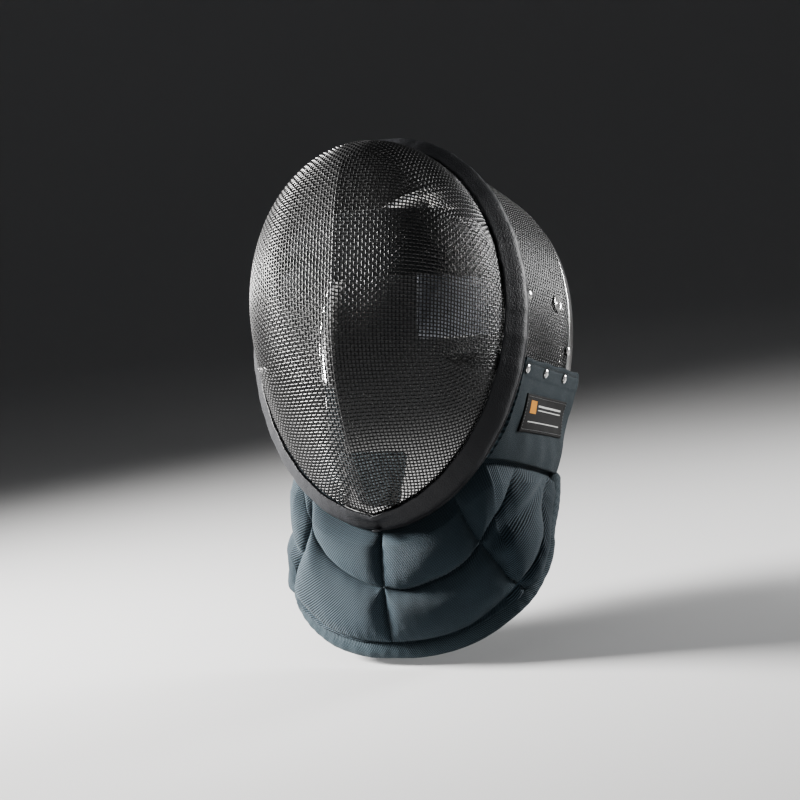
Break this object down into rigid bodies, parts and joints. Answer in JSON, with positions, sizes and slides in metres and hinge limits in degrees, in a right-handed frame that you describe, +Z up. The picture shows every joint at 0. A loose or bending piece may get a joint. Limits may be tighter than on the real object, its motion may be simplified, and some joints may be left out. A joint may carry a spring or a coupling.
{
  "type": "fencing mask",
  "caption": "Fencing mask with a black woven wire face and side mesh, leatherette trim, steel rear band and a quilted slate twill bib.",
  "frame": {"origin": "where the crown of the head sits, inside the top of the mask", "axes": "+Z up as worn, the face looks along -Y, +X to the wearer's left"},
  "size_m": [0.2184, 0.2836, 0.3741],
  "materials": {
    "wire": "enamelled",
    "leatherette": "satin, pebbled",
    "steel": "polished",
    "twill": "matte woven",
    "lining": "matte",
    "label": "woven"
  },
  "bodies": {
    "root": {"face_mesh": "wire", "side_mesh": "wire", "trim": "leatherette", "rear_band": "steel", "back_tongue": "steel", "tongue_pad": "lining", "brow_pad": "lining", "chin_pad": "twill", "bib_skirt": "twill", "bib_hem": "twill", "side_flap_left": "twill", "side_flap_right": "twill", "label_patch": "label", "side_badge": "steel", "chin_rivet": "leatherette", "flap_rivet_left_1": "steel", "flap_rivet_left_2": "steel", "flap_rivet_left_3": "steel", "band_rivet_left": "steel", "mesh_rivet_left": "steel", "flap_rivet_right_1": "steel", "flap_rivet_right_2": "steel", "flap_rivet_right_3": "steel", "band_rivet_right": "steel", "mesh_rivet_right": "steel"}
  },
  "joints": []
}
